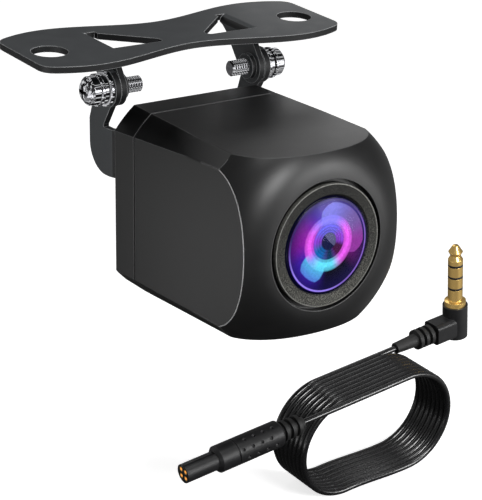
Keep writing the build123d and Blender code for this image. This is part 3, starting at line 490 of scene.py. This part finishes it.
class LensShader(Shader):
    """Shader that knows places on the lens: x, y and r are distances from its axis over its radius."""

    def __init__(self, name, glass_r):
        super().__init__(name)
        split = self.add("SeparateXYZ", {"Vector": self.position})
        self.x = self.math("DIVIDE", split.outputs["X"], glass_r)
        height = self.math("DIVIDE", split.outputs["Y"], glass_r)
        lift = self.ramp(self.distance(self.x, height), [(0.3, COATING_LIFT), (0.93, 0.0)])
        self.y = self.math("SUBTRACT", height, lift)
        self.r = self.distance(self.x, self.y)

    def distance(self, x, y):
        """Length of the vector (x, y)."""
        return self.math("SQRT", self.math("ADD", self.math("MULTIPLY", x, x), self.math("MULTIPLY", y, y)))

    def sector(self, start, end, soft, narrowing=0.0):
        """1 between two angles (degrees, anticlockwise from +X) and 0 outside, with edges soft degrees wide.

        narrowing, in radians, moves both ends inwards.
        """
        centre = math.radians((start + end) / 2)
        half = math.radians((end - start) / 2)
        along_x = self.math("MULTIPLY", self.x, math.cos(centre))
        along_y = self.math("MULTIPLY", self.y, math.sin(centre))
        along = self.math("ADD", along_x, along_y)
        cosine = self.math("DIVIDE", along, self.math("MAXIMUM", self.r, 0.001))
        angle = self.math("ARCCOSINE", self.math("MINIMUM", self.math("MAXIMUM", cosine, -1.0), 1.0))
        angle = self.math("ADD", angle, narrowing)
        edge = math.radians(soft) / 2
        node = self.add("MapRange", {
            "Value": angle, "From Min": half - edge, "From Max": half + edge, "To Min": 1.0, "To Max": 0.0},
            interpolation_type="SMOOTHSTEP")
        return node.outputs["Result"]

    def band(self, inner, outer, soft):
        """1 between two distances from the axis and 0 outside."""
        return self.ramp(self.r, [(inner - soft, 0.0), (inner, 1.0), (outer, 1.0), (outer + soft, 0.0)])

    def disc(self, radius, edge):
        """1 up to a distance from the axis, falling to 0 at edge."""
        return self.ramp(self.r, [(radius, 1.0), (edge, 0.0)])


def coating_field(s):
    """Violet, magenta and blue fields of the coating, darker towards the rim."""
    field = s.mix(s.sector(20, 165, 70), (0.0008, 0.0005, 0.007), (0.060, 0.012, 0.400))
    field = s.mix(s.sector(132, 205, 46), field, (0.270, 0.008, 0.330))
    field = s.mix(s.sector(186, 250, 40), field, (0.060, 0.015, 0.420))
    field = s.mix(s.sector(322, 352, 26), field, (0.110, 0.002, 0.110))
    return s.mix(s.ramp(s.r, [(0.62, 0.0), (0.92, 0.75)]), field, (0.006, 0.003, 0.060))


def reflections(s, field):
    """Painted reflections over the field: a cyan patch at the lower left and a large window at the upper
    right.
    """
    rounding = s.ramp(s.r, [(0.58, 0.0), (0.72, 0.10), (0.82, 0.28), (0.90, 0.52)])
    patch_colour = s.ramp(s.r, [(0.55, (0.10, 0.62, 0.80)), (0.80, (0.10, 0.22, 0.72))])
    patch = s.math("MULTIPLY", s.sector(199, 260, 4, rounding), s.band(0.50, 0.78, 0.02))
    field = s.mix(s.math("MULTIPLY", patch, 0.9), field, patch_colour)
    window_colour = s.mix(s.sector(58, 140, 50), (0.190, 0.110, 0.330), (0.180, 0.180, 0.640))
    window_colour = s.mix(s.sector(-60, 14, 40), window_colour, (0.330, 0.040, 0.330))
    window = s.math("MULTIPLY", s.sector(-29, 109, 3, rounding), s.disc(0.865, 0.885))
    return s.mix(s.math("MULTIPLY", window, 0.95), field, window_colour)


def bright_ring(s, colour):
    """Painted bright ring of pink, blue and cyan light, over the colour."""
    ring = s.mix(s.sector(45, 135, 60), (1.0, 0.130, 0.900), (0.300, 0.260, 1.0))
    ring = s.mix(s.sector(206, 236, 34), ring, (0.300, 0.360, 1.0))
    ring = s.mix(s.sector(226, 296, 34), ring, (0.150, 0.900, 1.0))
    profile = s.ramp(s.r, [
        (0.36, 0.0), (0.385, 0.55), (0.42, 0.62), (0.445, 1.0), (0.50, 1.0), (0.525, 0.72), (0.57, 0.55),
        (0.60, 0.0)])
    return s.mix(profile, colour, ring)


def inner_rings(s, colour):
    """Darker rings inside the bright one, and the pupil with its painted grey glare."""
    inner = s.mix(s.sector(40, 150, 50), (0.300, 0.050, 0.620), (0.170, 0.150, 0.800))
    inner = s.mix(s.sector(190, 262, 50), inner, (0.004, 0.150, 0.420))
    inner = s.mix(s.sector(252, 300, 40), inner, (0.002, 0.040, 0.100))
    inner = s.mix(s.sector(296, 345, 24), inner, (0.070, 0.004, 0.050))
    shells = s.ramp(s.r, [
        (0.17, 0.35), (0.20, 0.9), (0.245, 0.55), (0.25, 1.0), (0.31, 0.75), (0.315, 1.15), (0.37, 0.9)])
    inner = s.mix(1.0, inner, shells, "MULTIPLY")
    colour = s.mix(s.disc(0.365, 0.385), colour, inner)
    # painted highlight: grey glare over part of the pupil
    glare = s.mix(s.sector(-42, 128, 3), (0.002, 0.006, 0.045), (0.100, 0.105, 0.190))
    return s.mix(s.disc(0.165, 0.185), colour, glare)


def lens_rim(s, colour):
    """Painted thin line of light near the edge of the lens, and the dark edge outside it."""
    light = s.mix(s.sector(190, 300, 60), (0.035, 0.020, 0.120), (0.380, 0.260, 0.900))
    light = s.mix(s.sector(-70, 30, 50), light, (0.270, 0.140, 0.560))
    colour = s.mix(s.band(0.925, 0.945, 0.012), colour, light)
    return s.mix(s.ramp(s.r, [(0.955, 0.0), (0.97, 1.0)]), colour, (0.001, 0.001, 0.012))


def lens_coating(glass_r):
    """Coated lens painted as a glow: coloured fields, painted reflections, rings round a dark pupil, a rim
    and fine dust.
    """
    s = LensShader("lens_coating", glass_r)
    colour = reflections(s, coating_field(s))
    colour = inner_rings(s, bright_ring(s, colour))
    colour = lens_rim(s, colour)
    dust = s.ramp(s.noise(0.35, 3.0), [(0.35, 0.82), (0.65, 1.0)])
    colour = s.mix(1.0, colour, dust, "MULTIPLY")
    # painted light: the coating's colours glow as emission, standing in for the light the coating reflects
    return s.surface({
        "Base Color": s.mix(0.75, colour, (0.0, 0.0, 0.0)), "Roughness": 0.2, "Emission Color": colour,
        "Emission Strength": 0.95, "Specular IOR Level": 0.2})


def dome_glass():
    """Clear outer lens with a thin coating and a few fine smears."""
    s = Shader("dome_glass")
    smear = s.noise(1.5, 3.0)
    clear = s.add("BsdfTransparent", {"Color": (0.93, 0.93, 1.0)})
    smeared = s.ramp(smear, [(0.3, 0.14), (0.7, 0.2)])
    gloss = s.add("BsdfGlossy", {"Color": (0.30, 0.27, 0.56), "Roughness": smeared})
    facing = s.add("Fresnel", {"IOR": 1.3}).outputs[0]
    front = s.math("SUBTRACT", 1.0, s.add("NewGeometry", {}).outputs["Backfacing"])
    outer = s.add("MixShader", {
        0: s.math("MULTIPLY", facing, front), 1: clear.outputs[0], 2: gloss.outputs[0]})
    s.tree.links.new(outer.outputs[0], s.output.inputs["Surface"])
    return s.material


def floor_paint():
    """Pale floor; the object sees only some of its brightness: beside it, behind it and far on the left."""
    s = Shader("floor_paint")
    fine = s.noise(30.0, 2.0)
    base = s.ramp(fine, [(0.3, 0.90), (0.7, 0.92)])
    lit = s.add("BsdfDiffuse", {"Color": base})
    glow = s.add("Emission", {"Color": (1.0, 1.0, 1.0), "Strength": FLOOR_GLOW})
    paint = s.add("AddShader", {0: lit.outputs[0], 1: glow.outputs[0]})
    split = s.add("SeparateXYZ", {"Vector": s.position})
    x = s.math("DIVIDE", split.outputs["X"], FLOOR_PATCH * MM)
    y = s.math("DIVIDE", split.outputs["Y"], FLOOR_PATCH * MM)
    beside = s.ramp(s.math("ABSOLUTE", x), [(0.15, 0.03), (0.32, 0.30)])
    behind = s.ramp(y, [(0.1, 0.0), (0.4, 0.24)])
    left = s.ramp(s.math("MULTIPLY", x, -1.0), [(0.5, 0.0), (0.62, 1.0)])
    level = s.ramp(s.math("ADD", y, 0.6), [(0.0, 0.0), (0.1, 1.0), (0.6, 1.0), (0.75, 0.0)])
    hot = s.math("MULTIPLY", s.math("MULTIPLY", left, level), 2.9)
    bright = s.math("ADD", s.math("MAXIMUM", beside, behind), hot)
    seen = s.add("Emission", {"Color": (1.0, 1.0, 1.0), "Strength": bright})
    direct = s.add("LightPath", {}).outputs["Is Camera Ray"]
    both = s.add("MixShader", {0: direct, 1: seen.outputs[0], 2: paint.outputs[0]})
    s.tree.links.new(both.outputs[0], s.output.inputs["Surface"])
    return s.material


# ---- pieces ----

def dome(radius, rim_z, sag):
    """(radius, z) points of a dome, from its middle to its rim."""
    curve_r = (radius ** 2 + sag ** 2) / (2 * sag)
    profile = [(0, rim_z + sag)]
    for k in range(1, LENS_RINGS + 1):
        out = radius * k / LENS_RINGS
        profile.append((out, rim_z + sag - curve_r + math.sqrt(curve_r ** 2 - out ** 2)))
    return profile


def front_glass(matrix, glass_r):
    """Clear domed outer lens, hollow behind."""
    face = dome(glass_r, GLASS_RIM * MM, GLASS_SAG * MM)
    back = dome(glass_r, (GLASS_RIM - GLASS_EDGE) * MM, (COATED_SAG + GLASS_EDGE) * MM)
    mesh = turned_mesh("front_glass", face + back[::-1], LENS_SIDES)
    piece = new_piece("front_glass", mesh, matrix)
    piece.data.materials.append(dome_glass())
    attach(piece, "head")
    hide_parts("front_lens")


def coated_optics(matrix, glass_r):
    """Coated lens right behind the clear one."""
    rim = (GLASS_RIM - 2 * GLASS_EDGE) * MM
    profile = dome(glass_r, rim, COATED_SAG * MM)
    profile += [(glass_r, rim - COATED_DEPTH * MM), (0, rim - COATED_DEPTH * MM)]
    piece = new_piece("coated_optics", turned_mesh("coated_optics", profile, LENS_SIDES), matrix)
    piece.data.materials.append(lens_coating(glass_r))
    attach(piece, "head")


def cable_curve():
    """Centre line of the cable from inside the gland to the socket, and its direction out of the gland."""
    start = Vector(joint("cable_bend")["pos_m"])
    socket = mount("cable_socket")
    along = Vector(socket["axis"]).normalized()
    end = Vector(socket["pos_m"]) - SOCKET_LENGTH * MM * along
    back = (middle("rear_retainer") - middle("trim_ring")).normalized()
    handle = CABLE_HANDLE * MM
    control = [start, start + handle * back, end - handle * along, end]
    insets = [CABLE_INSET - CABLE_INSET_STEP * k for k in range(CABLE_INSET_POINTS)]
    path = [start - back * inset * MM for inset in insets]
    for k in range(CABLE_STEPS + 1):
        t = k / CABLE_STEPS
        weights = [(1 - t) ** 3, 3 * t * (1 - t) ** 2, 3 * t ** 2 * (1 - t), t ** 3]
        path.append(sum((w * c for w, c in zip(weights, control)), Vector((0, 0, 0))))
    return path, back


def pigtail():
    """Cable from inside the gland to the socket, built as a fixed tube in place of the CAD pigtail cable."""
    path, back = cable_curve()
    low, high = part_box("cable_tail")
    mesh = tube_mesh("flexible_cable", path, (high.x - low.x) / 2, CABLE_SIDES)
    piece = new_piece("flexible_cable", mesh)
    piece.data.materials.append(looks["cable_sheath"])
    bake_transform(piece)
    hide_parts("pigtail_cable")


def dress_frame():
    """Gives each CAD node the node material of its slot."""
    for entry in frame["record"]["subparts"]:
        node = nodes[entry["node"]]
        node.data.materials.clear()
        node.data.materials.append(looks[entry["material_slot"]])


# ---- studio ----

def floor():
    """Large plain floor at the lowest point of the object."""
    bm = bmesh.new()
    bmesh.ops.create_grid(bm, x_segments=2, y_segments=2, size=FLOOR_SIZE * MM / 2)
    mesh = bpy.data.meshes.new("floor")
    bm.to_mesh(mesh)
    bm.free()
    lowest = cad_box[0][2]
    piece = new_piece("floor", mesh, Matrix.Translation((0, 0, lowest)))
    piece.data.materials.append(floor_paint())


def area_light(name, place_mm, aim_mm, size_mm, watts):
    """Rectangular white light at a place, turned towards its aim."""
    data = bpy.data.lights.new(name, "AREA")
    data.shape = "RECTANGLE"
    data.size = size_mm[0] * MM
    data.size_y = size_mm[1] * MM
    data.energy = watts
    light = bpy.data.objects.new(name, data)
    bpy.context.scene.collection.objects.link(light)
    place = Vector(place_mm) * MM
    light.location = place
    light.rotation_euler = (Vector(aim_mm) * MM - place).to_track_quat("-Z", "Y").to_euler()


def lights():
    """Soft boxes in front, on the right, overhead and behind, and small fills close to the object."""
    area_light("key", (5, -330, 135), (-4, -38, -18), (110, 80), 0.53)
    area_light("front_right", (190, -315, 35), (0, -38, -20), (110, 60), 0.31)
    area_light("overhead", (20, -120, 330), (0, -20, -20), (220, 120), 0.42)
    area_light("behind", (54, 30, 7), (6, -24, -8), (36, 26), 0.004)
    area_light("side_low", (-52, 8, -45), (-14, -34, -22), (26, 34), 0.0015)
    area_light("low_right", (160, -220, -45), (0, -36, -28), (120, 40), 0.06)
    area_light("rear", (-60, 330, 160), (0, 0, -30), (260, 160), 0.12)


def world():
    """White to the camera, dim to the object."""
    studio = bpy.data.worlds.new("studio")
    studio.use_nodes = True
    tree = studio.node_tree
    background = tree.nodes["Background"]
    direct = tree.nodes.new("ShaderNodeLightPath")
    level = tree.nodes.new("ShaderNodeMapRange")
    level.inputs["To Min"].default_value = WORLD_DIM
    level.inputs["To Max"].default_value = 1.0
    tree.links.new(direct.outputs["Is Camera Ray"], level.inputs["Value"])
    tree.links.new(level.outputs["Result"], background.inputs["Strength"])
    background.inputs["Color"].default_value = (1, 1, 1, 1)
    bpy.context.scene.world = studio


def camera():
    """Camera at the viewing angle, aimed at a point of the object."""
    azimuth, elevation = math.radians(VIEW_AZIMUTH), math.radians(VIEW_ELEVATION)
    back = Vector((
        math.sin(azimuth) * math.cos(elevation), -math.cos(azimuth) * math.cos(elevation),
        math.sin(elevation)))
    data = bpy.data.cameras.new("view")
    data.lens = LENS_LENGTH
    data.clip_start = 0.01
    view = bpy.data.objects.new("view", data)
    bpy.context.scene.collection.objects.link(view)
    turn = back.to_track_quat("Z", "Y").to_matrix().to_4x4()
    roll = Matrix.Rotation(math.radians(VIEW_ROLL), 4, "Z")
    place = Vector(VIEW_AIM) * MM + back * VIEW_DISTANCE * MM
    view.matrix_world = Matrix.Translation(place) @ turn @ roll
    bpy.context.scene.camera = view
    bpy.context.scene.view_settings.view_transform = "Standard"


looks = {
    "powder_coat": powder_coat(),
    "bright_steel": bright_steel(),
    "black_shell": shell_plastic(),
    "bezel_plastic": bezel_plastic(),
    "trim_metal": trim_metal(),
    "lens_glass": inner_glass(),
    "barrel_metal": black_metal(),
    "soft_rubber": soft_rubber(),
    "cable_sheath": cable_sheath(),
    "board_green": board_lacquer(),
    "chip_black": connector_plastic(),
    "gold_contact": gold_plate(),
    "wire_sheath": wire_insulation(),
}
dress_frame()
lens_place = lens_matrix()
lens_low, lens_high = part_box("front_lens")
glass_radius = (lens_high.x - lens_low.x) / 2
front_glass(lens_place, glass_radius)
coated_optics(lens_place, glass_radius)
pigtail()
floor()
lights()
world()
camera()
